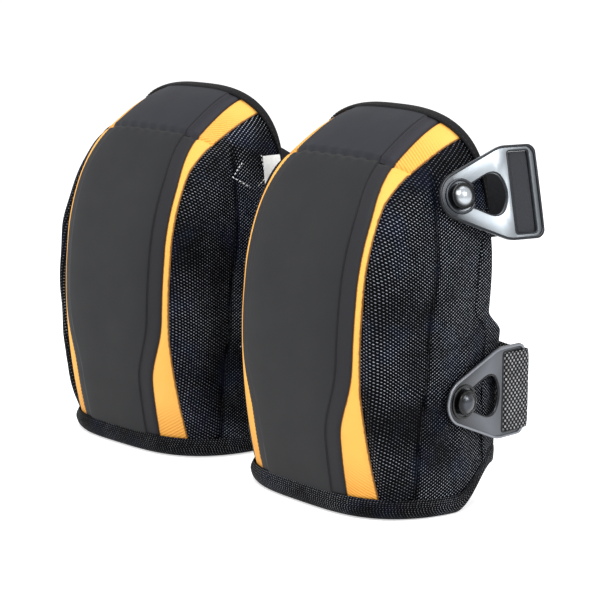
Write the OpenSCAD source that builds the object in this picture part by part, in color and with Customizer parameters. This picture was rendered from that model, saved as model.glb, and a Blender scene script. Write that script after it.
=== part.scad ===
// A mirrored pair of knee pads, standing upright side by side.
// X runs across both pads, Y from the caps to the open rear, Z up from the floor.
// Every soft layer is a sheet on one shared grid: columns run round the pad, rows run up it,
// and a depth in millimetres says how far below the outer surface a point lies.

/* [Pads] */
// Gap between the two pads
pad_gap = 32; // [24:1:60]
// Turn of each pad towards the other one
toe_in = 1.5; // [0:0.5:3]
// Width of a pad at the knee
pad_w = 168; // [140:1:204]
// Width of a pad at the foot
foot_w = 166; // [140:1:200]
// Width of a pad at the top edge
top_w = 156; // [130:1:188]
// Height of a pad at the middle of its top edge
pad_h = 251; // [208:1:302]
// Depth from the cap's front to the rear edge of the upper wall
pad_d = 95; // [79:1:114]
// How much further back the lower wall reaches
wing_d = 12; // [8:1:15]
// Height of the top of that lower wing
wing_h = 118; // [98:1:142]
// Drop of the top edge from the middle to the rear corner
rear_drop = 59; // [49:1:71]
// Rise of the hem at the rear corner
hem_rise = 25; // [20:1:30]
// How far the lower rear edge curls in towards the leg
rear_curl = 9; // [7:1:11]

/* [Front profile] */
// Height of the thigh panel above the sewn seam
thigh_rise = 27; // [22:1:33]
// Distance that the thigh panel runs back from the seam
thigh_run = 50; // [41:1:60]
// Setback of the seam from the front
seam_back = 40; // [33:1:48]
// Setback of the foot from the front
foot_back = 10; // [8:1:12]

/* [Layers] */
// Thickness at the front, from cap to liner
front_t = 27; // [22:1:33]
// Thickness at the top edge
top_t = 16; // [13:1:19]
// Thickness of the rear edge of a wall
wall_t = 16; // [13:1:19]
// Thickness of the outer skins
skin_t = 2; // [1.6:0.1:2.4]
// Thickness of the liner
liner_t = 3; // [2.5:0.1:3.6]
// Depth of the gel pad behind the knee
gel_t = 8; // [6:0.5:10]
// Gap between neighbouring layers
layer_gap = 0.1; // [0.08:0.01:0.12]

/* [Trim] */
// Angle round the pad to the cap's edge at the foot
cap_foot = 27.5; // [22:0.5:31]
// Angle to the cap's edge at the knee
cap_knee = 34.5; // [32:0.5:35.5]
// Angle to the cap's edge at the seam
cap_seam = 31.5; // [28:0.5:34]
// Angle to the outer edge of the trim strips
trim_edge = 37.5; // [37:0.5:42]
// Angle to the outer edge of the trim strips at the foot
trim_foot = 41; // [37:0.5:46]
// Angle to the outer edge of the trim strips at the top
trim_top = 45; // [42:0.5:52]
// Height at which the trim strips step out to full width
kink_h = 84; // [70:1:100]

/* [Bindings] */
// Height of the bottom binding outside
hem_h = 13; // [11:0.5:16]
// Thickness of the binding tapes
tape_t = 1.6; // [1.3:0.1:1.9]
// Width of the top binding tape on each side
tape_w = 7; // [6:0.5:8.4]

/* [Straps and buckles] */
// Width of the straps
strap_w = 50; // [42:1:60]
// Thickness of the straps
strap_t = 1.8; // [1.5:0.1:2.1]
// Distance from a stud to the far end of its buckle
buckle_reach = 58; // [56:1:72]
// Height of a buckle's wide end beyond the strap, both edges together
buckle_rims = 10; // [8:1:14]
// Thickness of the buckle plate
buckle_t = 2.6; // [2.2:0.1:3]
// Radius of a stud's button
button_r = 8.2; // [7:0.1:9]
// Radius of a stud's stem
stem_r = 3.6; // [3:0.1:4]
// Radius of the rounded tip of a buckle
tip_r = 15.5; // [13:0.5:18]
// Distance that a buckle slips along its stem
slip = 22; // [18:1:24]
// Depth of the strap loops behind the pads
loop_d = 58; // [48:1:70]

/* [Hidden] */
// Grid: columns from the middle to the cap's edge, the trim's edge and the rear edge
cap_c = 5;
trim_c = 7;
rear_c = 14;
// Grid: rows up to the seam and up to the top edge
seam_r = 14;
top_r = 19;
// Trimmed from a skin's border, in grid steps
sew = 0.02;
// Row at which the layers start, just above the hem tape
first_r = 0.04;

base_z = tape_t + layer_gap;
seam_h = pad_h - thigh_rise;
rear_h = pad_h - rear_drop;
rear_seam_h = seam_h - rear_drop;
spacing = pad_w + pad_gap;
middle_y = (pad_d + loop_d) / 2 - 2.4;

// Clearances round the stud and its buckle
run_gap = 0.3;
bore_gap = 0.05;

// Where the studs sit: angle round the pad, row, and turn of the stud's axis forward
upper_stud = [60.5, 14.8, -5];
lower_stud = [70.5, 4.6, 2];
// Rows at which the inner ends of the straps are sewn
upper_anchor_r = 12.8;
lower_anchor_r = 4.6;

PIECES = [
    "foam_core", "gel_pad", "liner", "knee_cap", "thigh_cap",
    "outer_trim_lower", "outer_trim_upper", "inner_trim_lower", "inner_trim_upper",
    "outer_side", "inner_side", "top_binding", "bottom_binding", "rear_binding",
    "upper_strap", "lower_strap", "upper_strap_end", "lower_strap_end",
    "upper_buckle", "lower_buckle", "upper_stud", "lower_stud",
    "upper_washer", "lower_washer", "upper_button", "lower_button",
    "upper_anchor", "lower_anchor", "care_tag",
];

// ---- Curves ----

function mix(a, b, f) = a + (b - a) * f;
function clamp01(f) = min(1, max(0, f));
function smooth(f) = let (g = clamp01(f)) g * g * (3 - 2 * g);
function unit(v) = v / norm(v);
function bez(p, t) = len(p) == 1
    ? p[0]
    : bez([for (i = [0 : len(p) - 2]) mix(p[i], p[i + 1], t)], t);
function arc(centre, r, from, to, steps) =
    [for (k = [0 : steps]) let (a = mix(from, to, k / steps)) centre + r * [cos(a), sin(a)]];

// Front line at the middle of a pad, as [y, z]: the shin and knee, then the thigh panel
shin_line = [
    [foot_back, base_z], [-11, seam_h * 0.38], [seam_back - 48, seam_h - 34], [seam_back, seam_h],
];
thigh_line = [
    [seam_back, seam_h], [seam_back + 16, seam_h + 11],
    [seam_back + thigh_run - 20, pad_h - 5], [seam_back + thigh_run, pad_h],
];
function spine(r) = r <= seam_r
    ? bez(shin_line, r / seam_r)
    : bez(thigh_line, (r - seam_r) / (top_r - seam_r));
function lean(r) = let (d = spine(min(r + 0.1, top_r)) - spine(min(r + 0.1, top_r) - 0.2))
    max(0, atan2(d[0], d[1]));

// Rear edge of the walls, as [y, z]
function rear_z(r) = r <= seam_r
    ? mix(base_z, rear_seam_h, (spine(r)[1] - base_z) / (seam_h - base_z))
    : mix(rear_seam_h, rear_h, (r - seam_r) / (top_r - seam_r));
function rear_line(r) = [pad_d + wing_d * (1 - smooth((rear_z(r) - wing_h + 18) / 18)), rear_z(r)];

function half_w(r) = bez([foot_w, pad_w, pad_w, top_w], r / top_r) / 2;
function thickness(r) = mix(front_t, top_t, clamp01((r - seam_r) / (top_r - seam_r)));

// Plan section: a rounded U, squarer outside than inside
function section(angle, roundness) =
    let (a = abs(angle), s = pow(sin(a), roundness), c = pow(cos(a), roundness),
         k = pow(s + c, -1 / roundness))
    [sin(a) * k, cos(a) * k];

// A point on the pad from its angle round the pad, its row and its depth under the surface
function skin_point(angle, r, line, w, roundness) =
    let (s = section(angle, roundness), rear = rear_line(r),
         tuck = pow(clamp01((abs(angle) - 62) / 28), 2) * (1 - smooth(rear[1] / wing_h - 0.4)))
    [sign(angle) * (w * s[0] - rear_curl * tuck),
     mix(rear[0], line[0], s[1]),
     mix(rear[1], line[1], s[1])
        + hem_rise * smooth((abs(angle) - 68) / 22) * (1 - rear[1] / rear_h)];
function at(angle, r, depth) =
    let (t = thickness(r), a = lean(r), line = spine(r),
         outer = skin_point(angle, r, line, half_w(r), bez([3.2, 4.2, 3.8, 2.7], r / top_r)),
         inner = skin_point(angle, r, line + t * [cos(a), -sin(a)], half_w(r) - wall_t, 2.4))
    mix(outer, inner, depth / t);

// Borders of the cap and the trim strips, as angles round the pad
function cap_angle(r) = r <= seam_r
    ? lookup(spine(r)[1], [
        [0, cap_foot], [kink_h - 26, mix(cap_foot, cap_knee, 0.1)], [kink_h, mix(cap_foot, cap_knee, 0.8)],
        [kink_h + 12, mix(cap_foot, cap_knee, 0.97)], [kink_h + 36, cap_knee],
        [seam_h - 30, cap_knee], [seam_h, cap_seam]])
    : cap_seam;
function trim_angle(r) = r <= seam_r
    ? mix(trim_foot, trim_edge, clamp01(spine(r)[1] / kink_h))
    : mix(trim_edge, trim_top, (r - seam_r) / (top_r - seam_r));
function column_angle(c, r) =
    let (n = abs(c))
    sign(c) * (n <= cap_c ? cap_angle(r) * n / cap_c
        : n <= trim_c ? mix(cap_angle(r), trim_angle(r), (n - cap_c) / (trim_c - cap_c))
        : mix(trim_angle(r), 90, (n - trim_c) / (rear_c - trim_c)));
function place(c, r, depth) = at(column_angle(c, r), r, depth);

// Grid lines from one position to another, with the whole numbers between them
function lines(from, to) = concat(
    [from],
    [for (i = [ceil(from + 0.001) : floor(to - 0.001)]) i],
    [to]);

// ---- Soft layers ----

function quad(a, b, c, d) = [[a, d, c], [a, c, b]];

// A curved slab between two depths, each a function of column and row
module layer(cols, rows, outer, inner) {
    nc = len(cols);
    nr = len(rows);
    back = nc * nr;
    points = concat(
        [for (r = rows) for (c = cols) place(c, r, outer(c, r))],
        [for (r = rows) for (c = cols) place(c, r, inner(c, r))]);
    faces = concat(
        [for (j = [0 : nr - 2]) for (i = [0 : nc - 2])
            let (a = j * nc + i)
            each concat(quad(a, a + 1, a + nc + 1, a + nc),
                [[a + back, a + back + 1, a + back + nc + 1], [a + back, a + back + nc + 1, a + back + nc]])],
        [for (i = [0 : nc - 2]) each quad(i + 1, i, i + back, i + 1 + back)],
        [for (i = [0 : nc - 2]) let (a = (nr - 1) * nc + i) each quad(a, a + 1, a + 1 + back, a + back)],
        [for (j = [0 : nr - 2]) let (a = j * nc) each quad(a, a + nc, a + nc + back, a + back)],
        [for (j = [0 : nr - 2]) let (a = j * nc + nc - 1) each quad(a + nc, a, a + back, a + nc + back)]);
    polyhedron(points, faces);
}

// A solid swept through closed rings of equal length; point k of a ring lies across from point n - 1 - k
module sweep(rings) {
    n = len(rings[0]);
    last = (len(rings) - 1) * n;
    polyhedron(
        [for (ring = rings) each ring],
        concat(
            [for (k = [0 : len(rings) - 2]) for (i = [0 : n - 1])
                let (a = k * n + i, b = k * n + (i + 1) % n)
                each [[a, b, b + n], [a, b + n, a + n]]],
            [for (k = [0 : n / 2 - 2])
                each [[k, n - 1 - k, n - 2 - k], [k, n - 2 - k, k + 1]]],
            [for (k = [0 : n / 2 - 2])
                each [[last + k, last + n - 2 - k, last + n - 1 - k], [last + k, last + k + 1, last + n - 2 - k]]]));
}

function flat(depth) = function (c, r) depth;
function dish(c, r) = gel_t * pow(cos(18 * c), 2) * pow(sin(180 * clamp01((r - 6) / 9)), 2)
    * (abs(c) < 5 ? 1 : 0);

foam_in = skin_t + layer_gap;
function foam_out(c, r) = thickness(r) - liner_t - layer_gap - dish(c, r);
function gel_front(c, r) = foam_out(c, r) + layer_gap;
function gel_back(c, r) = thickness(r) - liner_t - layer_gap;
function liner_front(c, r) = thickness(r) - liner_t;
function liner_back(c, r) = thickness(r);

module foam_core() {
    color("dimgray") difference() {
        layer(lines(-rear_c, rear_c), lines(first_r, top_r), flat(foam_in), function (c, r) foam_out(c, r));
        for (s = [upper_stud, lower_stud]) at_stud(s)
            translate([0, 0, washer_z - 1.6]) cylinder(h = 8, r = washer_r + 0.6);
    }
}
module gel_pad() {
    color("slategray") layer([for (c = [-3 : 3]) c], [for (r = [8 : 13]) r],
        function (c, r) gel_front(c, r), function (c, r) gel_back(c, r));
}
module liner() {
    color("midnightblue") layer(lines(-rear_c, rear_c), lines(first_r, top_r),
        function (c, r) liner_front(c, r), function (c, r) liner_back(c, r));
}
module skin(from_c, to_c, from_r, to_r) {
    layer(lines(from_c + sew, to_c - sew), lines(from_r, to_r - sew), flat(0), flat(skin_t));
}
module knee_cap() color("#3d3d42") skin(-cap_c, cap_c, first_r, seam_r);
module thigh_cap() color("#484a52") skin(-cap_c, cap_c, seam_r, top_r);
module outer_trim_lower() color("orange") skin(cap_c, trim_c, first_r, seam_r);
module outer_trim_upper() color("orange") skin(cap_c, trim_c, seam_r, top_r);
module inner_trim_lower() color("orange") skin(-trim_c, -cap_c, first_r, seam_r);
module inner_trim_upper() color("orange") skin(-trim_c, -cap_c, seam_r, top_r);
module outer_side() {
    color("#1c1d20") difference() {
        skin(trim_c, rear_c, first_r, top_r);
        for (s = [upper_stud, lower_stud]) at_stud(s)
            translate([0, 0, -6]) cylinder(h = 12, r = stem_r + run_gap);
    }
}
module inner_side() color("#1c1d20") skin(-rear_c, -trim_c, first_r, top_r);

// ---- Bindings: folded tapes, each one closed ring per grid line ----

tape_rows = hem_h / 20;
tape_gap = 0.5;
module bottom_binding() {
    down = [0, 0, base_z];
    lift = [0, 0, layer_gap];
    color("#202124") sweep([for (c = lines(-rear_c, rear_c)) let (t = thickness(0)) [
        place(c, tape_rows, -layer_gap - tape_t),
        place(c, 0, -layer_gap - tape_t) - down,
        place(c, 0, t + tape_gap + tape_t) - down,
        place(c, tape_rows * 0.8, t + tape_gap + tape_t),
        place(c, tape_rows * 0.8, t + tape_gap),
        place(c, 0, t + tape_gap) - lift,
        place(c, 0, -layer_gap) - lift,
        place(c, tape_rows, -layer_gap),
    ]]);
}
module top_binding() {
    low = top_r - tape_w / 13;
    low_t = thickness(low);
    color("#18191b") sweep([for (c = lines(-rear_c, rear_c)) let (
        up = unit(place(c, top_r, 0) - place(c, top_r - 0.5, 0)),
        tall = (tape_gap + tape_t) * up,
        lift = tape_gap * up) [
        place(c, low, -tape_gap),
        place(c, top_r, -tape_gap) + lift,
        place(c, top_r, top_t + tape_gap) + lift,
        place(c, low, low_t + tape_gap),
        place(c, low, low_t + tape_gap + tape_t),
        place(c, top_r, top_t + tape_gap + tape_t) + tall,
        place(c, top_r, -tape_gap - tape_t) + tall,
        place(c, low, -tape_gap - tape_t),
    ]]);
}
module rear_binding() {
    wrap_c = rear_c - 1;
    back = [0, layer_gap + tape_t, 0];
    lift = [0, layer_gap, 0];
    rows = lines(tape_rows + 0.1, top_r - tape_w / 13 - 0.5);
    color("#18191b") for (side = [1, -1]) sweep([for (k = [0 : len(rows) - 1]) let (
        r = side > 0 ? rows[k] : rows[len(rows) - 1 - k],
        t = thickness(r)) [
        place(side * wrap_c, r, -tape_gap),
        place(side * rear_c, r, -tape_gap) + lift,
        place(side * rear_c, r, t + tape_gap) + lift,
        place(side * wrap_c, r, t + tape_gap),
        place(side * wrap_c, r, t + tape_gap + tape_t),
        place(side * rear_c, r, t + tape_gap + tape_t) + back,
        place(side * rear_c, r, -tape_gap - tape_t) + back,
        place(side * wrap_c, r, -tape_gap - tape_t),
    ]]);
}

// ---- Studs and buckles: local X runs back along the wall, Y up it, Z out of it ----

function wall_normal(angle, r) =
    unit(cross(at(angle + 1, r, 0) - at(angle - 1, r, 0), at(angle, r + 0.2, 0) - at(angle, r - 0.2, 0)));
function turned(v, a) = [v[0] * cos(a) - v[1] * sin(a), v[0] * sin(a) + v[1] * cos(a), v[2]];
function stud_frame(s, turn) =
    let (out = turned(wall_normal(s[0], s[1]), turn), along = unit(cross([0, 0, 1], out)), up = cross(out, along))
    [at(s[0], s[1], 0), along, up, out];
function framed(f, p) = f[0] + f[1] * p[0] + f[2] * p[1] + f[3] * p[2];
module in_frame(f) multmatrix([
    [f[1][0], f[2][0], f[3][0], f[0][0]],
    [f[1][1], f[2][1], f[3][1], f[0][1]],
    [f[1][2], f[2][2], f[3][2], f[0][2]],
]) children();
module at_stud(s) in_frame(stud_frame(s, s[2])) children();

washer_r = 9;
washer_z = -5.2;
washer_t = 1;
flange_t = 0.8;
flange_z = 2;
plate_z = flange_z + flange_t + run_gap;
plate_top = plate_z + buckle_t;
shoulder_z = plate_top + run_gap;
button_z = shoulder_z + run_gap;
button_t = 3.4;
neck_r = 2.2;
neck_h = 2.2;

module washer() {
    color("silver") translate([0, 0, washer_z]) difference() {
        cylinder(h = washer_t, r = washer_r, $fn = 48);
        translate([0, 0, -1]) cylinder(h = washer_t + 2, r = stem_r + bore_gap, $fn = 48);
    }
}
module stud() {
    color("dimgray") {
        translate([0, 0, washer_z - 1.2]) cylinder(h = 1.15, r = stem_r + 1.6, $fn = 48);
        translate([0, 0, washer_z - 0.2]) cylinder(h = shoulder_z - washer_z + 0.2, r = stem_r, $fn = 48);
        translate([0, 0, flange_z]) cylinder(h = flange_t, r = button_r, $fn = 48);
        translate([0, 0, shoulder_z - 0.1]) cylinder(h = neck_h + 0.1, r = neck_r, $fn = 48);
    }
}
module button() {
    color("#101012") difference() {
        rotate_extrude($fn = 48) polygon(concat(
            [[0, button_z], [button_r - 0.8, button_z]],
            arc([button_r - 0.8, button_z + 0.8], 0.8, -90, 0, 4),
            arc([0, button_z + button_t - 12], 12, asin((button_r - 0.6) / 12) * -1 + 90, 90, 8)));
        translate([0, 0, button_z - 1]) cylinder(h = neck_h + run_gap + 1, r = neck_r + bore_gap, $fn = 48);
    }
}

plate_h = strap_w + buckle_rims;
shoulder_x = buckle_reach * 0.55;
bar_w = 6;
slot_x = [buckle_reach - bar_w - 14.5, buckle_reach - bar_w];
window_x = slot_x[0] - 4.5;
window_r = 18;
window_a = 56;
corner = 6;

function plate_outline(inset) =
    let (r = tip_r - inset, h = plate_h / 2 - inset, x = buckle_reach - inset,
         p = [shoulder_x, h], a = atan2(p[1], p[0]) + acos(r / norm(p)))
    concat(
        arc([0, 0], r, a, 360 - a, 20),
        [[shoulder_x, -h], [x - corner, -h], [x, -h + corner], [x, h - corner], [x - corner, h], p]);
module window() {
    circle(r = stem_r + run_gap, $fn = 48);
    polygon(concat(
        [[0, stem_r + run_gap], [0, -stem_r - run_gap]],
        arc([window_x - window_r, 0], window_r, -window_a, window_a, 16)));
}
module slot() {
    translate([slot_x[0], -strap_w / 2 - 0.8]) square([slot_x[1] - slot_x[0], strap_w + 1.6]);
}
module buckle() {
    color("#141416") translate([0, 0, plate_z]) {
        linear_extrude(buckle_t - 0.8) difference() {
            polygon(plate_outline(0));
            window();
            slot();
        }
        translate([0, 0, buckle_t - 0.9]) linear_extrude(0.9) difference() {
            polygon(plate_outline(0));
            polygon(plate_outline(2.4));
        }
    }
}

// The strap's end folds round the buckle's far bar; the strap itself starts just under it
fold_gap = 0.25;
module strap_end() {
    inner = [[slot_x[1] - fold_gap, plate_z - fold_gap], [buckle_reach + fold_gap, plate_top + fold_gap]];
    color("#2a2b2e") rotate([90, 0, 0]) translate([0, 0, -strap_w / 2]) linear_extrude(strap_w) difference() {
        translate(inner[0] - [strap_t, strap_t / 2]) square(inner[1] - inner[0] + [2 * strap_t, strap_t * 1.5]);
        translate(inner[0]) square(inner[1] - inner[0]);
    }
}

// ---- Straps: flat bands swept behind the leg ----

module band(bend, run, wide, steps) {
    function line(t) = t < 0.2 ? bez(bend, t / 0.2) : bez(run, (t - 0.2) / 0.8);
    sweep([for (k = [0 : steps]) let (
        t = k / steps,
        p = line(t),
        w = unit(bez(wide, t)),
        along = unit(line(min(1, t + 0.01)) - line(max(0, t - 0.01))),
        n = unit(cross(along, w)),
        half = w * strap_w / 2,
        thick = n * strap_t / 2) [
        p - half - thick, p + half - thick, p + half + thick, p - half + thick,
    ]]);
}
// The inner ends are sewn inside the wall that faces the other pad, on a patch on the liner
anchor_c = [-12.9, -10.2];
anchor_lift = 0.6;
bend_out = 8;
function wall_depth(r, mm) = thickness(r) * (1 + mm / wall_t);
module strap(s, row, clear) {
    f = stud_frame(s, s[2]);
    start_z = plate_z - fold_gap - 2 * strap_t / 2 - run_gap;
    on_patch = wall_depth(row, anchor_lift + 1.5 * strap_t + clear);
    sewn = place(anchor_c[0] + 0.6, row, on_patch);
    leaving = place(anchor_c[0] - 0.6, row, on_patch);
    far = buckle_reach + bend_out;
    bend = [
        framed(f, [buckle_reach - 9, 0, start_z]),
        framed(f, [buckle_reach + 1, 0, start_z]),
        framed(f, [far, 0, start_z]),
        framed(f, [far, 0, start_z - bend_out]),
        framed(f, [far, 0, start_z - 2 * bend_out]),
    ];
    run = [
        bend[4],
        framed(f, [far, 0, start_z - 2 * bend_out - 24]),
        [0, pad_d + loop_d + 3, (f[0][2] + sewn[2]) / 2],
        [-half_w(0) * 0.9, pad_d + loop_d + 8, sewn[2]],
        leaving + [2, 46, 0],
        mix(sewn, leaving, 2) + [1.5, 0, 0],
        leaving,
        sewn,
    ];
    wall_up = unit(place(anchor_c[0], row + 1, on_patch) - place(anchor_c[0], row - 1, on_patch));
    band(bend, run, [f[2], f[2], [0, 0, 1], wall_up, wall_up], 45);
}
module anchor(row) {
    half = strap_w / 2 / (place(anchor_c[0], row + 1, 0) - place(anchor_c[0], row, 0))[2];
    layer(lines(anchor_c[0], anchor_c[1]), lines(row - half, row + half),
        function (c, r) wall_depth(r, anchor_lift), function (c, r) wall_depth(r, anchor_lift + strap_t));
}
module upper_strap() color("#333438") strap(upper_stud, upper_anchor_r, 3.4);
module lower_strap() color("#1a1b1d") strap(lower_stud, lower_anchor_r, 0.8);
module upper_strap_end() at_stud(upper_stud) strap_end();
module lower_strap_end() at_stud(lower_stud) strap_end();
module upper_buckle() at_stud(upper_stud) buckle();
module lower_buckle() at_stud(lower_stud) buckle();
module upper_stud() at_stud(upper_stud) stud();
module lower_stud() at_stud(lower_stud) stud();
module upper_washer() at_stud(upper_stud) washer();
module lower_washer() at_stud(lower_stud) washer();
module upper_button() at_stud(upper_stud) button();
module lower_button() at_stud(lower_stud) button();
module upper_anchor() color("#222326") anchor(upper_anchor_r);
module lower_anchor() color("#222326") anchor(lower_anchor_r);

// Sewn on the outside of the inner wall, near the rear corner
tag_size = [14, 24, 0.6];
tag_at = [71, 15.9, 0];
module care_tag() {
    color("white") mirror([1, 0, 0]) in_frame(stud_frame(tag_at, 0))
        translate([-tag_size[0] / 2, -tag_size[1] / 2, 3 * run_gap]) cube(tag_size);
}

// ---- Assembly ----

module piece(name) {
    if (name == "foam_core") foam_core();
    if (name == "gel_pad") gel_pad();
    if (name == "liner") liner();
    if (name == "knee_cap") knee_cap();
    if (name == "thigh_cap") thigh_cap();
    if (name == "outer_trim_lower") outer_trim_lower();
    if (name == "outer_trim_upper") outer_trim_upper();
    if (name == "inner_trim_lower") inner_trim_lower();
    if (name == "inner_trim_upper") inner_trim_upper();
    if (name == "outer_side") outer_side();
    if (name == "inner_side") inner_side();
    if (name == "top_binding") top_binding();
    if (name == "bottom_binding") bottom_binding();
    if (name == "rear_binding") rear_binding();
    if (name == "upper_strap") upper_strap();
    if (name == "lower_strap") lower_strap();
    if (name == "upper_strap_end") upper_strap_end();
    if (name == "lower_strap_end") lower_strap_end();
    if (name == "upper_buckle") upper_buckle();
    if (name == "lower_buckle") lower_buckle();
    if (name == "upper_stud") upper_stud();
    if (name == "lower_stud") lower_stud();
    if (name == "upper_washer") upper_washer();
    if (name == "lower_washer") lower_washer();
    if (name == "upper_button") upper_button();
    if (name == "lower_button") lower_button();
    if (name == "upper_anchor") upper_anchor();
    if (name == "lower_anchor") lower_anchor();
    if (name == "care_tag") care_tag();
}
module placed() translate([spacing / 2, 0, 0]) rotate([0, 0, -toe_in]) translate([0, -middle_y, 0]) children();
for (name = PIECES) {
    placed() piece(name);
    mirror([1, 0, 0]) placed() piece(name);
}
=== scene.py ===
import math

import bmesh
import bpy
import numpy as np
from mathutils import Matrix, Vector

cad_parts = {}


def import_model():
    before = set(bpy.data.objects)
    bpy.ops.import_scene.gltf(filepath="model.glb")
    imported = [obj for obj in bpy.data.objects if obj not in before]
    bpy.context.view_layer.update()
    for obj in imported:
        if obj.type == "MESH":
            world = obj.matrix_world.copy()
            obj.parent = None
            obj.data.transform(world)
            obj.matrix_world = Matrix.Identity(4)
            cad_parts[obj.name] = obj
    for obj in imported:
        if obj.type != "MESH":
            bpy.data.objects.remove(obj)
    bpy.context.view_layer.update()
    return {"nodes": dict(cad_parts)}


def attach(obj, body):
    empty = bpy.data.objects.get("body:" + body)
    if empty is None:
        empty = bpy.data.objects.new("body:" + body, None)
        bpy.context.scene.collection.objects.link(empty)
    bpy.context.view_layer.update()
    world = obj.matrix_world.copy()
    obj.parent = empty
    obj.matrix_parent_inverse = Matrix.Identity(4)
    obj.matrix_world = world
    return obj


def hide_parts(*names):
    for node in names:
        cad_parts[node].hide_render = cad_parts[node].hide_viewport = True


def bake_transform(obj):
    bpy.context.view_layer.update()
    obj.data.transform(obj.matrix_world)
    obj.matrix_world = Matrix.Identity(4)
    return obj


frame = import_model()

# Sizes are in millimetres in one pad's own frame: X from its middle, Y from the cap's front, Z up.

pad = {
    "gap": 32,
    "width": 168,
    "widths": (166, 168, 168, 156),  # foot to top
    "corners": (3.2, 4.2, 3.8, 2.7),  # 2 is an ellipse, more is boxier
    "height": 251,
    "depth": 95,
    "wingDepth": 12,
    "wingHeight": 118,
    "rearDrop": 59,
    "hemRise": 25,
    "rearCurl": 9,
    "thighRise": 27,
    "thighRun": 50,
    "seamBack": 40,
    "footBack": 10,
    "frontThick": 27,
    "topThick": 16,
    "wallThick": 16,
    "middle": 74.1,
    "toeIn": 1.5,
    "floor": 1.7,
}
footRow, seamRow, edgeRow, topRow = 0.04, 14, 18.98, 19
capCol, trimCol, rearCol = 5, 7, 14
seamHigh = pad["height"] - pad["thighRise"]
rearSeam = seamHigh - pad["rearDrop"]
rearTop = pad["height"] - pad["rearDrop"]


# The pad's surface


def mix(a, b, f):
    return a + (b - a) * f


def clamp01(f):
    return np.clip(f, 0, 1)


def smooth(f):
    f = clamp01(f)
    return f * f * (3 - 2 * f)


def bell(f):
    return np.exp(-(f**2))


def unit(v):
    v = np.asarray(v, float)
    return v / np.linalg.norm(v, axis=-1, keepdims=True)


def bez(points, t):
    rows = [np.asarray(p, float) for p in points]
    t = np.asarray(t, float)[..., None]
    while len(rows) > 1:
        rows = [mix(a, b, t) for a, b in zip(rows, rows[1:])]
    return rows[0]


shinLine = [
    (pad["footBack"], pad["floor"]),
    (-11, seamHigh * 0.38),
    (pad["seamBack"] - 48, seamHigh - 34),
    (pad["seamBack"], seamHigh),
]
thighLine = [
    (pad["seamBack"], seamHigh),
    (pad["seamBack"] + 16, seamHigh + 11),
    (pad["seamBack"] + pad["thighRun"] - 20, pad["height"] - 5),
    (pad["seamBack"] + pad["thighRun"], pad["height"]),
]


def spine(r):
    low = bez(shinLine, np.minimum(r, seamRow) / seamRow)
    high = bez(thighLine, (np.maximum(r, seamRow) - seamRow) / (topRow - seamRow))
    return np.where((r <= seamRow)[..., None], low, high)


def lean(r):
    end = np.minimum(r + 0.1, topRow)
    step = spine(end) - spine(end - 0.2)
    return np.maximum(0, np.arctan2(step[..., 0], step[..., 1]))


def rearLine(r):
    part = (spine(r)[..., 1] - pad["floor"]) / (seamHigh - pad["floor"])
    upper = (r - seamRow) / (topRow - seamRow)
    z = np.where(r <= seamRow, mix(pad["floor"], rearSeam, part), mix(rearSeam, rearTop, upper))
    y = pad["depth"] + pad["wingDepth"] * (1 - smooth((z - pad["wingHeight"] + 18) / 18))
    return np.stack([y, z], -1)


def thickness(r):
    return mix(pad["frontThick"], pad["topThick"], clamp01((r - seamRow) / (topRow - seamRow)))


def skinPoint(angle, r, line, wide, round):
    a = np.radians(np.abs(angle))
    s, c = np.sin(a) ** round, np.abs(np.cos(a)) ** round
    k = (s + c) ** (-1 / round)
    s, c = np.sin(a) * k, np.cos(a) * k
    rear = rearLine(r)
    tuck = clamp01((np.abs(angle) - 62) / 28) ** 2
    tuck = tuck * (1 - smooth(rear[..., 1] / pad["wingHeight"] - 0.4))
    rise = pad["hemRise"] * smooth((np.abs(angle) - 68) / 22) * (1 - rear[..., 1] / rearTop)
    x = np.sign(angle) * (wide * s - pad["rearCurl"] * tuck)
    y = mix(rear[..., 0], line[..., 0], c)
    z = mix(rear[..., 1], line[..., 1], c) + rise
    return np.stack([x, y, z], -1)


def at(angle, r, depth):
    angle, r, depth = np.broadcast_arrays(*(np.asarray(n, float) for n in (angle, r, depth)))
    t, a, line, part = thickness(r), lean(r), spine(r), r / topRow
    half = bez([[w] for w in pad["widths"]], part)[..., 0] / 2
    round = bez([[n] for n in pad["corners"]], part)[..., 0]
    inside = line + t[..., None] * np.stack([np.cos(a), -np.sin(a)], -1)
    outer = skinPoint(angle, r, line, half, round)
    inner = skinPoint(angle, r, inside, half - pad["wallThick"], 2.4)
    return mix(outer, inner, (depth / t)[..., None])


def eased(heights, values, wide):  # a border with its corners eased over that height
    line = np.arange(-60, 320.0)
    weights = bell(np.arange(-3 * wide, 3 * wide + 1) / wide)
    return line, np.convolve(np.interp(line, heights, values), weights / weights.sum(), "same")


borders = {  # angles round the pad, from the middle of its front
    "capHeights": [0, 58, 84, 96, 120, seamHigh - 30, seamHigh],
    "capAngles": [27.5, 28.2, 33.1, 34.3, 34.5, 34.5, 31.5],
    "capEase": 7,
    "trimFoot": 41,
    "trimEdge": 37.5,
    "trimTop": 46,
    "kinkHigh": 84,
    "flareRow": seamRow - 2.2,
}
capBorder = eased(borders["capHeights"], borders["capAngles"], borders["capEase"])


def colAngle(c, r):
    z = spine(r)[..., 1]
    cap = np.interp(z, *capBorder)
    flare = clamp01((r - borders["flareRow"]) / (topRow - borders["flareRow"]))
    trim = mix(borders["trimFoot"], borders["trimEdge"], clamp01(z / borders["kinkHigh"]))
    trim = mix(trim, borders["trimTop"], flare)
    n = np.abs(c)
    onTrim = mix(cap, trim, (n - capCol) / (trimCol - capCol))
    onSide = mix(trim, 90, (n - trimCol) / (rearCol - trimCol))
    onCap = cap * n / capCol
    return np.sign(c) * np.where(n <= capCol, onCap, np.where(n <= trimCol, onTrim, onSide))


def place(c, r, depth):
    c, r = np.asarray(c, float), np.asarray(r, float)
    return at(colAngle(c, r), r, depth)


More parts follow.
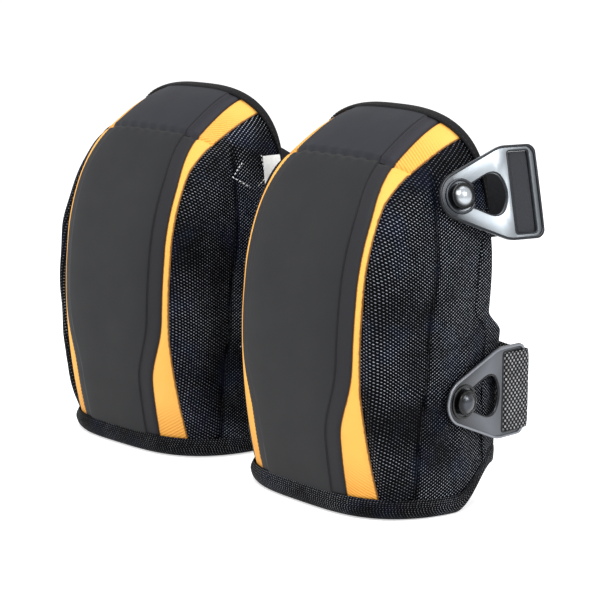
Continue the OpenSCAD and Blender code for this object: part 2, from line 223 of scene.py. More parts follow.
def outward(c, r):
    run = place(c + 0.1, r, 0) - place(c - 0.1, r, 0)
    rise = place(c, r + 0.1, 0) - place(c, r - 0.1, 0)
    return unit(np.cross(run, rise))


def world(points):  # from the right pad's frame to the shared one
    turn = Matrix.Rotation(math.radians(-pad["toeIn"]), 3, "Z")
    turned = (np.asarray(points, float) - [0, pad["middle"], 0]) @ np.array(turn).T
    return (turned + [(pad["width"] + pad["gap"]) / 2, 0, 0]) / 1000


# Looks


class Wire:  # a socket that sums like a number
    def __init__(self, look, socket):
        self.look, self.socket = look, socket

    def sum(self, kind, a, b=None):
        values = {0: a} if b is None else {0: a, 1: b}
        return self.look.node("Math", {"operation": kind}, values)

    def floor(self):
        return self.sum("FLOOR", self)

    def abs(self):
        return self.sum("ABSOLUTE", self)

    def wave(self):
        return self.sum("SINE", self)

    def above(self, other):
        return self.sum("MAXIMUM", self, other)


signs = {"add": "ADD", "sub": "SUBTRACT", "mul": "MULTIPLY", "truediv": "DIVIDE", "pow": "POWER"}
for sign, kind in signs.items():
    setattr(Wire, f"__{sign}__", lambda a, b, kind=kind: a.sum(kind, a, b))
    setattr(Wire, f"__r{sign}__", lambda a, b, kind=kind: a.sum(kind, b, a))


class Look:
    def __init__(self, name, **fixed):
        self.material = bpy.data.materials.new(name)
        self.material.use_nodes = True
        self.tree = self.material.node_tree
        self.tree.nodes.clear()
        self.shader = self.tree.nodes.new("ShaderNodeBsdfPrincipled")
        out = self.tree.nodes.new("ShaderNodeOutputMaterial")
        self.tree.links.new(self.shader.outputs[0], out.inputs[0])
        for key, value in fixed.items():  # constants sit on the sockets
            self.shader.inputs[key.replace("_", " ")].default_value = value

    def put(self, socket, value):
        if isinstance(value, Wire):
            self.tree.links.new(value.socket, socket)
        else:
            socket.default_value = value

    def node(self, kind, settings, values, out=0):
        made = self.tree.nodes.new("ShaderNode" + kind)
        for key, value in settings.items():
            if key == "stops":
                while len(made.color_ramp.elements) < len(value):
                    made.color_ramp.elements.new(0.5)
                for stop, (spot, colour) in zip(made.color_ramp.elements, value):
                    stop.position, stop.color = spot, colour
            else:
                setattr(made, key, value)
        for key, value in values.items():
            self.put(made.inputs[key], value)
        return Wire(self, made.outputs[out])

    def cloth(self):  # the piece's own weave map, in millimetres
        both = self.node("TexCoord", {}, {}, "UV")
        return [self.node("SeparateXYZ", {}, {0: both}, n) * 100 for n in (0, 1)]

    def body(self, scale=1):
        both = self.node("TexCoord", {}, {}, "Object")
        return self.node("VectorMath", {"operation": "SCALE"}, {0: both, "Scale": scale})

    def mark(self, name):
        return self.node("Attribute", {"attribute_name": name}, {}, "Fac")

    def noise(self, scale, detail=3.0, where=None):
        return self.node(
            "TexNoise", {}, {"Vector": where or self.body(), "Scale": scale, "Detail": detail}
        )

    def colour(self, factor, a, b):
        return self.node("Mix", {"data_type": "RGBA"}, {0: factor, 6: a, 7: b}, 2)

    def ramp(self, factor, low, high):  # 0 below low, 1 above high
        return self.node(
            "MapRange", {"interpolation_type": "SMOOTHSTEP"}, {0: factor, 1: low, 2: high}
        )

    def finish(self, base=None, rough=None, height=None, tall=0.0003, strength=1.0, **more):
        if base is not None:
            self.put(self.shader.inputs["Base Color"], base)
        if rough is not None:
            self.put(self.shader.inputs["Roughness"], rough)
        for key, value in more.items():
            self.put(self.shader.inputs[key.replace("_", " ")], value)
        if height is not None:
            bump = self.node(
                "Bump", {}, {"Strength": strength, "Distance": tall, "Height": height}
            )
            self.put(self.shader.inputs["Normal"], bump)
        return self.material


def rgb(code):
    parts = [int(code[n : n + 2], 16) / 255 for n in (1, 3, 5)]
    linear = [p / 12.92 if p <= 0.04045 else ((p + 0.055) / 1.055) ** 2.4 for p in parts]
    return (*linear, 1)


def weave(look, wide, tall):  # the place in each cell, -1 to 1, and the cell's own values
    u, v = look.cloth()
    a, b = u / wide, v / tall
    col, row = a.floor(), b.floor()
    half = (col + row) * 0.5
    cell = look.node("CombineXYZ", {}, {0: col, 1: row, 2: 0.5})
    chance = look.node("TexWhiteNoise", {}, {"Vector": cell}, "Value")
    return (a - col - 0.5) * 2, (b - row - 0.5) * 2, (half - half.floor()) * 2, chance


def capLook(name, base, band, lineAt):
    look = Look(name, Specular_IOR_Level=0.2)
    edge = look.mark("edge")
    cloudy = look.noise(14)
    grain = look.noise(1500, 4)
    wear = look.noise(60, 5)
    line = 1 - look.ramp((edge - lineAt).abs(), 0.25, 0.85)
    outside = 1 - look.ramp(edge, lineAt - 1.0, lineAt + 1.5)
    rim = 1 - look.ramp(edge, 0.1, 1.4)
    colour = look.colour(cloudy * 0.6, rgb(base[0]), rgb(base[1]))
    colour = look.colour(outside * 0.7, colour, rgb(band))
    # painted shade: the embossed groove line is painted near black
    colour = look.colour(line * 0.9, colour, rgb("#0d0d10"))
    colour = look.colour(rim * 0.6, colour, rgb("#1f1b1c"))
    rough = 0.56 + wear * 0.14 - line * 0.05
    height = grain * 0.25 + cloudy * 0.3 - line * 1.6
    return look.finish(colour, rough, height, 0.00035, 0.8)


def sideLook(name, wide, tall, dark, pale, glint):  # slanted dashes that change hand at the crease; the pale dashes are painted glints
    look = Look(name, Specular_IOR_Level=0.03)
    fa, fb, odd, chance = weave(look, wide, tall)
    fb = fb * (1 - look.mark("rear") * 2)
    short, long = fa - fb, fa + fb
    dash = (1 - short * short * 0.34 - long * long * 1.15).above(0)
    cross = (1 - short * short * 1.2 - long * long * 0.5).above(0)
    patchy = look.ramp(look.noise(20, 2), 0.3, 0.66)
    blue = look.ramp(look.noise(34, 2), 0.45, 0.7)
    # painted shade: the front face's glints are dimmer than the rear face's
    lit = (0.6 + chance * 0.4) * (0.4 + patchy * 0.6) * (0.82 + look.mark("rear") * 0.18)
    shine = (dash**1.7) * (1 - odd) * lit + cross * odd * 0.06
    # painted shade: the glints fade along the crease
    shine = shine * (1 - look.mark("fold") * 0.8)
    base = look.colour(blue * 0.7, rgb(dark), rgb("#0a0f1e"))
    colour = look.colour(look.ramp(shine * glint, 0.02, 0.85), base, rgb(pale))
    height = dash * (1 - odd) + cross * odd * 0.6
    return look.finish(colour, 0.62 - shine * 0.2, height, 0.0004, 0.9)


def trimLook():
    look = Look("orangeWebbing", Specular_IOR_Level=0.3)
    u, v = look.cloth()
    edge, low = look.mark("edge"), look.mark("low")
    twill = ((u * 0.8 + v * 1.4) * 2.0).wave()
    rib = (u * 5.5).wave()
    foot = 1 - look.ramp(low, 14, 42)
    cloudy = look.noise(30)
    frayed = look.noise(420, 3)
    rim = 1 - look.ramp(edge + frayed * 0.9, 0.9, 1.9)
    colour = look.colour(cloudy, rgb("#fdb044"), rgb("#fbbe62"))
    colour = look.colour((0.02 + foot * 0.6) * (0.5 - twill * 0.5), colour, rgb("#dd8a26"))
    colour = look.colour(rim * 0.85, colour, rgb("#4a2410"))
    height = twill * (0.06 + foot) * 0.5 + rib * 0.1
    return look.finish(colour, 0.62 + cloudy * 0.1, height, 0.0003, 0.8)


def tapeLook(name, dark, pale, pitch, strength):
    look = Look(name, Specular_IOR_Level=0.15)
    u, v = look.cloth()
    twill = ((u + v) * (6.283 / pitch)).wave() * 0.5 + 0.5
    cross = ((u - v) * (6.283 / pitch)).wave() * 0.5 + 0.5
    patchy = look.ramp(look.noise(40, 3), 0.3, 0.7)
    knot = (twill * cross) ** 1.5
    colour = look.colour(knot * (0.25 + patchy * 0.75) * strength, rgb(dark), rgb(pale))
    return look.finish(colour, 0.6 + patchy * 0.12, knot, 0.0004, 0.8)


def strapLook(name, dark, pale, pitch, mark):
    look = Look(name, Specular_IOR_Level=0.15)
    fa, fb, odd, chance = weave(look, pitch, pitch * 0.8)
    warp = (1 - fa * fa) * (1 - 0.75 * fb * fb)
    weft = (1 - fb * fb) * (1 - 0.75 * fa * fa)
    knot = (warp.above(0) ** 1.1) * (1 - odd)
    colour = look.colour(knot * (0.55 + chance * 0.45) * mark, rgb(dark), rgb(pale))
    height = warp.above(0) * (1 - odd) + weft.above(0) * odd * 0.5
    return look.finish(colour, 0.7 - knot * 0.15, height, 0.0004, 0.9)


def linerLook():
    look = Look("linerJersey", Sheen_Weight=0.15, Sheen_Roughness=0.5, Specular_IOR_Level=0.25)
    u, v = look.cloth()
    loops = ((u * 3.4).wave() * (v * 4.4).wave()) * 0.5 + 0.5
    cloudy = look.noise(18)
    colour = look.colour(cloudy, rgb("#15171f"), rgb("#1d2133"))
    colour = look.colour(loops * 0.35, colour, rgb("#2c3040"))
    return look.finish(colour, 0.82 - cloudy * 0.08, loops, 0.00025, 0.7)


def plateLook(name, pale, dark, rim, shine, metal):  # painted light: pale arms as if lit, painted shade at the tip, the far bar, the lips and the boss, and a painted edge colour on the rims
    look = Look(name, Specular_IOR_Level=0.5, Coat_Weight=0.2, Coat_Roughness=0.15, Coat_IOR=1.45)
    smear = look.noise(22, 2)
    drawn = look.node("Mapping", {}, {0: look.body(), 3: (0.05, 1, 0.3)})
    scratch = look.ramp(look.noise(500, 2, drawn), 0.66, 0.8)
    # painted light: the arms mark makes the plate pale as lit, and dark as shade at the tip and the
    # far bar
    colour = look.colour(look.mark("arms") * (0.9 + smear * 0.1), rgb(dark), rgb(pale))
    # painted edge: the rim colour is a dark shade on the upper plate and a highlight on the lower
    colour = look.colour(look.mark("rims"), colour, rgb(rim))
    rough = shine + smear * 0.04 + scratch * 0.03
    return look.finish(colour, rough, smear, 0.00001, 0.05, Metallic=metal)


def buttonLook(name, dome):  # painted highlight: a pale dome on a black skirt
    look = Look(name, Specular_IOR_Level=0.6, Coat_Weight=0.3, Coat_Roughness=0.25, Coat_IOR=1.5)
    smear = look.noise(60, 3)
    colour = look.colour(look.mark("dome"), rgb("#0b0c0e"), rgb(dome))
    return look.finish(colour, 0.24 + smear * 0.04, smear, 0.00001, 0.05, Metallic=0.85)


def steelLook():
    look = Look("studSteel", Specular_IOR_Level=0.5)
    smear = look.noise(300, 3)
    colour = look.colour(smear, rgb("#3d3e41"), rgb("#6b6c70"))
    return look.finish(colour, 0.3 + smear * 0.15, smear, 0.00005, 0.5, Metallic=0.9 - smear * 0.1)


def threadLook(name, a, b):
    look = Look(name, Specular_IOR_Level=0.3)
    twist = look.noise(3500, 2)
    return look.finish(look.colour(twist, rgb(a), rgb(b)), 0.6 + twist * 0.1, twist, 0.0001, 0.6)


def foamLook(name, a, b):
    look = Look(name, Specular_IOR_Level=0.2)
    cells = look.node("TexVoronoi", {}, {"Vector": look.body(), "Scale": 1200})
    cloudy = look.noise(25)
    return look.finish(look.colour(cloudy, rgb(a), rgb(b)), 0.85 - cloudy * 0.1, cells, 0.0004, 0.8)


def tagLook():
    look = Look("tagSatin", Specular_IOR_Level=0.35)
    u, v = look.cloth()
    weave = (u * 9).wave() * (v * 9).wave() * 0.5 + 0.5
    cloudy = look.noise(50)
    colour = look.colour(cloudy * 0.6, rgb("#f2f1ee"), rgb("#dfddd8"))
    return look.finish(colour, 0.5 + cloudy * 0.1, weave, 0.0001, 0.5)


looks = {
    "kneeCap": capLook("kneeCapSkin", ("#222324", "#1e1e21"), "#242428", 10.5),
    "thighCap": capLook("thighCapSkin", ("#25262c", "#222328"), "#28282e", 11.5),
    "trim": trimLook(),
    "side": sideLook("ballisticWeave", 1.5, 1.1, "#020203", "#b4bac4", 0.92),
    "hem": sideLook("hemWeave", 1.35, 1.0, "#030304", "#a9acb2", 0.95),
    "tape": tapeLook("bindingTape", "#0c0c0e", "#26272b", 0.9, 0.6),
    "liner": linerLook(),
    "smoothStrap": strapLook("smoothStrap", "#333438", "#4a4b50", 0.8, 0.5),
    "wovenStrap": strapLook("wovenStrap", "#060607", "#b4b5b7", 1.95, 1.0),
    # both plates are gloss black; painted reflections make the upper one pale and the lower one darker
    # grey
    "upperPlate": plateLook("satinPlate", "#a4abb1", "#24272b", "#1c1e21", 0.3, 0.8),
    "lowerPlate": plateLook("darkPlate", "#5a5d63", "#141517", "#74777d", 0.26, 0.6),
    # painted highlights on the domes of the gloss black buttons
    "upperButton": buttonLook("satinButton", "#aab0b5"),
    "lowerButton": buttonLook("darkButton", "#3c3f45"),
    "steel": steelLook(),
    "foam": foamLook("foamCells", "#55575b", "#3e4044"),
    "gel": foamLook("gelRubber", "#2f4a5c", "#3b5a6d"),
    "darkThread": threadLook("darkThread", "#0d0d0f", "#232326"),
    "whiteThread": threadLook("whiteThread", "#d9d9d6", "#f2f2ef"),
    "tag": tagLook(),
}
print("looks made:", len(looks))


# Making pieces


def asData(mesh, name):
    data = bpy.data.meshes.new(name)
    mesh.to_mesh(data)
    mesh.free()
    return data


def marked(data, key, values):
    mark = data.attributes.new(key, "FLOAT", "POINT")
    mark.data.foreach_set("value", values.astype(np.float32))


def slab(cells, front, back, marks):
    mesh = bmesh.new()
    bmesh.ops.create_grid(mesh, x_segments=cells[0], y_segments=cells[1], size=1)
    cell = mesh.verts.layers.float_vector.new("cell")
    for vert in mesh.verts:
        vert[cell] = ((vert.co.x + 1) / 2 * cells[0], (vert.co.y + 1) / 2 * cells[1], 0)
    pushed = bmesh.ops.extrude_face_region(mesh, geom=mesh.faces[:], use_keep_orig=True)
    for item in pushed["geom"]:
        if isinstance(item, bmesh.types.BMVert):
            item[cell] = (item[cell].x, item[cell].y, 1)
    sheets = np.stack([world(front), world(back)])
    spots = []
    for vert in mesh.verts:
        i, j, side = (round(n) for n in vert[cell])
        vert.co = sheets[side, j, i]
        spots.append((j, i))
    bmesh.ops.recalc_face_normals(mesh, faces=mesh.faces[:])
    data = asData(mesh, "slab")
    spots = tuple(np.array(spots).T)
    for key, values in marks.items():
        marked(data, key, values[spots])
    corner = np.empty(len(data.loops), int)
    data.loops.foreach_get("vertex_index", corner)
    weave = np.stack([marks.get("u", marks["left"]), marks.get("v", marks["low"])], -1) / 100
    uv = weave[spots][corner]
    data.uv_layers.new(name="weave").data.foreach_set("uv", uv.astype(np.float32).ravel())
    data.attributes.remove(data.attributes["cell"])
    return data


def measured(flat):
    step = np.linalg.norm(np.diff(flat, axis=1), axis=2)
    left = np.pad(np.cumsum(step, axis=1), ((0, 0), (1, 0)))
    step = np.linalg.norm(np.diff(flat, axis=0), axis=2)
    low = np.pad(np.cumsum(step, axis=0), ((1, 0), (0, 0)))
    right, high = left[:, -1:] - left, low[-1:] - low
    return {"left": left, "right": right, "low": low, "high": high, "edge": np.minimum(left, right)}


def patch(cols, rows, cells, outer, inner, extra=None):
    c, r = np.meshgrid(np.linspace(*cols, cells[0] + 1), np.linspace(*rows, cells[1] + 1))
    flat = place(c, r, 0)
    marks = measured(flat)
    spot = {**marks, "c": c, "r": r, "y": flat[..., 1], "z": flat[..., 2], "t": thickness(r)}
    marks.update(extra(spot) if extra else {})
    return slab(cells, place(c, r, outer(spot)), place(c, r, inner(spot)), marks)


def joined(*parts):
    mesh = bmesh.new()
    for data in parts:
        mesh.from_mesh(data)
    return asData(mesh, "joined")


def pair(name, data, look, slot, replaced=(), body="root", angle=50, plain=False):
    data.materials.clear()
    data.materials.append(looks[look])
    rounds = [len(f.vertices) > 3 or not plain for f in data.polygons]
    data.polygons.foreach_set("use_smooth", rounds)
    data.set_sharp_from_angle(angle=math.radians(angle))
    made = {}
    for side in ("right", "left"):
        mesh = data.copy()
        if side == "left":
            mesh.transform(Matrix.Diagonal((-1, 1, 1, 1)))
            mesh.flip_normals()
        piece = bpy.data.objects.new(side + name, mesh)
        bpy.context.scene.collection.objects.link(piece)
        if replaced:
            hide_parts(*[f"{side}_{node}" for node in replaced])
        if body:
            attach(piece, body if body == "root" else f"{side}_{body}")
        made[side] = piece
    print(name, len(data.polygons), "faces")
    return made


def roll(distance, width, drop):  # a border that turns down
    return drop * (1 - smooth(distance / width))


# Cap panels

caps = {
    "stand": 0.6,
    "rollWide": 1.8,
    "rollDrop": 0.9,
    "panelAt": 10.5,
    "panelRise": 0.8,
    "pull": 0.35,
    "pitch": 11,
}


def capOuter(seam, soft):
    def outer(spot):
        waves = np.cos(spot["left"] * 2 * np.pi / caps["pitch"]) * (1 - smooth(spot[seam] / soft))
        return (
            caps["pull"] * waves
            - caps["stand"]
            + roll(spot["edge"], caps["rollWide"], caps["rollDrop"])
            + roll(spot[seam], 3.5, 1.7)
            - caps["panelRise"] * smooth((spot["edge"] - caps["panelAt"] + 1) / 2)
        )

    return outer


def even(depth):
    return lambda spot: depth + 0 * spot["c"]


knee = patch((-capCol, capCol), (footRow, seamRow), (84, 156), capOuter("high", 9), even(2))
thigh = patch((-capCol, capCol), (seamRow, edgeRow), (84, 48), capOuter("low", 7), even(2))
pair("KneeCap", knee, "kneeCap", "cap_skin", ["knee_cap"])
pair("ThighCap", thigh, "thighCap", "cap_skin", ["thigh_cap"])

# Trim strips

trims = {
    "sunk": 0.25,
    "puff": 0.35,
    "rollWide": 1.5,
    "rollDrop": 0.4,
    "seamWide": 2.5,
    "seamDrop": 1.3,
}


def trimOuter(seam):
    def outer(spot):
        wide = spot["left"] + spot["right"]
        puff = trims["puff"] * (1 - (2 * spot["left"] / wide - 1) ** 2)
        edge = roll(spot["edge"], trims["rollWide"], trims["rollDrop"])
        return trims["sunk"] - puff + edge + roll(spot[seam], trims["seamWide"], trims["seamDrop"])

    return outer


for side, way in (("Outer", 1), ("Inner", -1)):
    cols = sorted((capCol * way, trimCol * way))
    for level, span, tall, seam in (
        ("Lower", (footRow, seamRow), 156, "high"),
        ("Upper", (seamRow, edgeRow), 48, "low"),
    ):
        strip = patch(cols, span, (14, tall), trimOuter(seam), even(2))
        pair(f"{side}Trim{level}", strip, "trim", "trim", [f"{side}_trim_{level}".lower()])
print("front panels done")

# Side fabric

sides = {
    "creaseLine": ([0, 66, 207, 245], [37, 40, 54.8, 62]),
    "creaseDeep": 4.0,
    "creaseWide": 1.7,
    "bulge": 1.6,
    "stud": (68.6, 73.2),
    "folds": 7,
    "foldDeep": 2.3,
    "full": 3.4,
    "deepest": 1.7,
    "underStrap": 0.8,
    "pinch": 1.4,
}


def softCap(value, most):  # values ease towards a limit
    return most - np.log1p(np.exp((most - value) * 3)) / 3


def creaseAway(spot):
    z = spot["z"]
    away = spot["y"] - np.interp(z, *sides["creaseLine"]) - 0.9 * np.sin(z / 11)
    return away, smooth((z - 2) / 14) * (1 - smooth((z - 206) / 14))


def sideOuter(spot, full=0):
    y, z = spot["y"], spot["z"]
    away, reach = creaseAway(spot)
    crease = sides["creaseDeep"] * bell(away / sides["creaseWide"]) * reach
    swell = sides["bulge"] * (bell((away - 13) / 9) + bell((away + 12) / 8))
    studY, studZ = sides["stud"]
    far = np.hypot(y - studY, z - studZ)
    turn = np.arctan2(z - studZ, y - studY)
    ring = smooth((far - 9) / 10) * (1 - smooth((far - 24) / 30))
    fold = sides["foldDeep"] * (0.45 + np.sin(turn * sides["folds"] + 0.9 + far / 26)) * ring
    pinched = bell(away / 14) * smooth((z - 24) / 20) * (1 - smooth((z - 108) / 26))
    pinch = sides["pinch"] * np.sin(z / 2.6 + away / 8) * pinched
    drift = 0.4 * np.sin(y / 9 + z / 13) + 0.3 * np.sin(z / 6.5 - y / 15 + 1.3)
    border = smooth(np.minimum(spot["left"], spot["low"]) / 9)
    full = full * smooth(z / 40) * (1 - smooth((z - 150) / 60)) * smooth(spot["left"] / 4)
    puff = full * bell((spot["left"] - 8) / 5)
    depth = roll(spot["edge"], 3, 0.9) + crease + (fold + pinch + drift - swell) * border - puff
    strapped = smooth((y - 56) / 10) * (1 - smooth((np.abs(z - studZ + 2) - 26) / 14))
    under = sides["underStrap"] + 3 * (1 - strapped)  # flat where the strap slides
    return softCap(-softCap(-depth, under), sides["deepest"])


def foldMark(spot):
    away, reach = creaseAway(spot)
    # the fold mark paints shade along the crease; the rear mark turns the weave and brightens the rear
    # face's painted glints
    marks = {"fold": bell(away / 1.5) * reach, "rear": smooth(0.5 + away / 1.2)}
    return {**marks, "u": spot["y"], "v": spot["z"]}


for side, cols, outer in (
    ("Outer", (trimCol, rearCol), lambda s: sideOuter(s, sides["full"])),
    ("Inner", (-rearCol, -trimCol), lambda s: sideOuter({**s, "left": s["right"]})),
):
    wall = patch(cols, (footRow, topRow), (96, 170), outer, even(2), foldMark)
    pair(f"{side}Side", wall, "side", "side_fabric", [f"{side}_side".lower()])

# Liner, foam and gel

layers = {"liner": 3, "foamAt": 3.2, "gelAt": 3.1, "gelDeep": 8, "groove": 0.9, "hollow": 1.2}


def linerBack(spot):
    shoe = np.hypot(spot["c"] / 6.5, (spot["r"] - 8.5) / 5.2)
    groove = layers["groove"] * bell((shoe - 1) / 0.045)
    hollow = layers["hollow"] * smooth(1 - shoe)
    return spot["t"] - groove - hollow + 0.3 * np.sin(spot["left"] / 8) * np.sin(spot["low"] / 11)


def inward(depth, dished=0):  # a sheet so far in from the pad's inner face
    def inner(spot):
        c, r = spot["c"], spot["r"]
        gel = np.cos(np.radians(18 * c)) ** 2 * np.sin(np.pi * clamp01((r - 6) / 9)) ** 2
        return spot["t"] - depth - dished * np.where(np.abs(c) < 5, gel, 0)

    return inner


behind = inward(layers["liner"])
liner = patch((-rearCol, rearCol), (footRow, topRow), (150, 130), linerBack, behind)
pair("Liner", liner, "liner", "liner", ["liner"])
foamBack = inward(layers["foamAt"], layers["gelDeep"])
foam = patch((-rearCol, rearCol), (0.06, 18.96), (84, 60), even(6), foamBack)
for piece in pair("FoamCore", foam, "foam", "foam", ["foam_core"]).values():
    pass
gelFront, gelBack = inward(layers["gelAt"], layers["gelDeep"]), inward(layers["gelAt"])
gel = patch((-3, 3), (8, 13), (24, 24), gelFront, gelBack)
for piece in pair("GelPad", gel, "gel", "gel", ["gel_pad"]).values():
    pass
print("soft layers done")

# Bindings


def distances(line):
    return np.concatenate([[0], np.cumsum(np.linalg.norm(np.diff(line, axis=0), axis=1))])


def along(want, far, line):  # the places at some distances along a line
    return np.stack([np.interp(want, far, line[:, n]) for n in range(line.shape[1])], -1)


def through(points, count):  # a smooth line through points, evenly spaced
    points = np.asarray(points, float)
    ends = np.vstack([2 * points[0] - points[1], points, 2 * points[-1] - points[-2]])
    line = []
    for a, b, c, d in zip(ends, ends[1:], ends[2:], ends[3:]):
        t = np.linspace(0, 1, 24, endpoint=False)[:, None]
        curve = (2 * a - 5 * b + 4 * c - d) * t**2 + (3 * b - a - 3 * c + d) * t**3
        line.append(0.5 * (2 * b + (c - a) * t + curve))
    line = np.vstack([*line, points[-1:]])
    far = distances(line)
    return along(np.linspace(0, far[-1], count), far, line)


def tape(outer, inner, run, across, point, level=False):  # profiles of (depth, height)
    sheets = []
    for profile in (outer, inner):
        line = through(profile, across + 1)
        n, a = np.meshgrid(run, line[:, 0], indexing="ij")
        _, b = np.meshgrid(run, line[:, 1], indexing="ij")
        sheets.append(point(n, a, b))
    marks = measured(sheets[0])
    if level:  # the weave runs level, as on the wall beside it
        x, y, z = np.moveaxis(sheets[0], -1, 0)
        marks.update(u=y - x * 0.8, v=z, rear=np.ones_like(x))
    return slab((across, len(run) - 1), *sheets, marks)


hem = {"lip": 1.4, "tailOut": 0.7, "tailRise": 6}


def hemPoint(c, a, b):  # the ends are folded up and bulky
    tail = smooth((np.abs(c) - 12.9) / 0.9) * smooth((b - 1) / 6)
    lip = (1 - smooth((np.abs(c) - 9) / 3)) * (1 - smooth((a + 1) / 7)) * (1 - smooth((b - 7) / 6))
    out = np.where(a < 2, hem["tailOut"], 0) * tail
    rise = np.where(a < 14, hem["tailRise"], 0) * tail * (1 + 0.06 * np.sin(c * 23))
    a, b = a - hem["lip"] * lip - out, b + rise
    points = place(c, np.maximum(b, 0) / 20, a)
    points[..., 2] += np.minimum(b, 0)
    return points


hemOuter = [(-1.2, 13.6), (-2.3, 11.5), (-2.9, 6), (-2.2, 0.8), (0.6, -1.6), (6, -1.68)]
hemOuter += [(20, -1.68), (26.5, -1.6), (29.2, 0.6), (29.6, 5), (29.1, 10.6)]
hemInner = [(-0.1, 13.2), (-0.5, 11), (-1.2, 6), (-0.7, 1.2), (0.8, -0.2), (6, -0.12)]
hemInner += [(20, -0.12), (26, -0.1), (27.5, 0.8), (28, 5), (27.5, 10.4)]
hemTape = tape(hemOuter, hemInner, np.linspace(-rearCol, rearCol, 221), 44, hemPoint)
pair("BottomBinding", hemTape, "hem", "hem_webbing", ["bottom_binding"])


def topPoint(c, a, b):
    r = topRow + np.minimum(b, 0) / 13
    up = unit(place(c, topRow, 0) - place(c, topRow - 0.5, 0))
    full = thickness(r)
    depth = np.where(a > 8, full + a - pad["topThick"], a)
    return place(c, r, depth) + up * np.maximum(b, 0)[..., None]


topOuter = [(-1.5, -7.4), (-2.2, -6), (-2.5, -3), (-1.9, 0.6), (1.2, 2.1)]
topOuter += [(7.9, 2.2), (14.8, 2.1), (17.9, 0.6), (18.4, -3), (18.1, -7)]
topInner = [(-0.5, -7), (-0.6, -5.5), (-0.9, -3), (-0.4, 0.2), (1.8, 0.6)]
topInner += [(7.9, 0.6), (14.2, 0.6), (16.4, 0.2), (16.8, -3), (16.5, -7)]
topTape = tape(topOuter, topInner, np.linspace(-rearCol, rearCol, 181), 34, topPoint)
pair("TopBinding", topTape, "tape", "binding_tape", ["top_binding"])


def rearPoint(way):
    def point(r, a, b):
        full = thickness(r)
        depth = np.where(a > 8, full + a - pad["wallThick"], a)
        points = place(way * (rearCol + np.minimum(b, 0) / 8), r, depth)
        points[..., 1] += np.maximum(b, 0)
        return points

    return point


rearOuter = [(-1.1, -8), (-1.7, -6.5), (-1.9, -3), (-1.5, 0.5), (1.2, 1.6)]
rearOuter += [(7.9, 1.7), (14.8, 1.6), (17.8, 0.5), (18.3, -3), (18.1, -7.5)]
rearInner = [(-0.5, -7.6), (-0.6, -6), (-0.9, -3), (-0.3, 0), (1.8, 0.15)]
rearInner += [(7.9, 0.12), (14.2, 0.15), (16.3, 0), (16.8, -3), (16.5, -7)]
rows = np.linspace(0.7, topRow - 7 / 13 - 0.5, 121)
rearTapes = [tape(rearOuter, rearInner, rows, 30, rearPoint(way), True) for way in (1, -1)]
pair("RearBinding", joined(*rearTapes), "side", "binding_tape", ["rear_binding"])
print("bindings done")

# Studs, buckles and buttons: local X runs back along the wall, Y up it, Z out of it

stud = {
    "spots": {"upper": (60.5, 14.8, -5), "lower": (70.5, 4.6, 2)},
    "plateAt": 3.1,
    "plateThick": 2.6,
    "buttonAt": 6.3,
    "buttonRadius": 8.2,
    "stem": 3.9,
}
buckle = {
    "reach": 58,
    "tall": 60,
    "tip": 15.5,
    "shoulder": 31.9,
    "corner": 3.5,
    "slot": (37.5, 52),
    "slotTall": 51.6,
    "windowAt": 33,
    "windowRadius": 18,
    "windowAngle": 56,
    "rim": 1.7,
    "soft": 0.45,
    "ring": (9.4, 11.2),
}


def studFrame(angle, r, turn=0):
    run = at(angle + 1, r, 0) - at(angle - 1, r, 0)
    rise = at(angle, r + 0.2, 0) - at(angle, r - 0.2, 0)
    out = unit(np.cross(run, rise))
    c, s = math.cos(math.radians(turn)), math.sin(math.radians(turn))
    out = np.array([out[0] * c - out[1] * s, out[0] * s + out[1] * c, out[2]])
    back = unit(np.cross([0, 0, 1], out))
    return at(angle, r, 0), back, np.cross(out, back), out


frames = {level: studFrame(*spot) for level, spot in stud["spots"].items()}


def framed(f, p):
    p = np.asarray(p, float)
    return f[0] + p[..., :1] * f[1] + p[..., 1:2] * f[2] + p[..., 2:3] * f[3]


def frameMatrix(f):
    origin = world(f[0])
    axes = [world(f[0] + axis) - origin for axis in f[1:]]
    rows = [[axes[0][n], axes[1][n], axes[2][n], origin[n]] for n in range(3)]
    return Matrix([*rows, [0, 0, 0, 1]])


def arc(centre, radius, start, end, steps):
    turns = np.radians(np.linspace(start, end, steps + 1))
    return [(centre[0] + radius * math.cos(a), centre[1] + radius * math.sin(a)) for a in turns]


def rounded(corners, radius, steps=5):  # a closed outline with its corners eased
    line = []
    count = len(corners)
    for n, corner in enumerate(corners):
        here = Vector(corner)
        before, after = Vector(corners[n - 1]) - here, Vector(corners[(n + 1) % count]) - here
        cut = min(radius, before.length * 0.45, after.length * 0.45)
        a, b = here + before.normalized() * cut, here + after.normalized() * cut
        line += [tuple(a.lerp(here, t).lerp(here.lerp(b, t), t)) for t in np.linspace(0, 1, steps)]
    return line


def plateLine(inset):
    r, h, x = buckle["tip"] - inset, buckle["tall"] / 2 - inset, buckle["reach"] - inset
    shoulder = Vector((buckle["shoulder"], h))
    a = math.degrees(math.atan2(*reversed(shoulder)) + math.acos(r / shoulder.length))
    tip = arc((0, 0), r, a, 360 - a, 32)
    far = [(buckle["shoulder"], h), (x - buckle["corner"], h), (x, h - buckle["corner"])]
    return rounded([*tip, *[(a, -b) for a, b in far], *far[::-1]], 4)


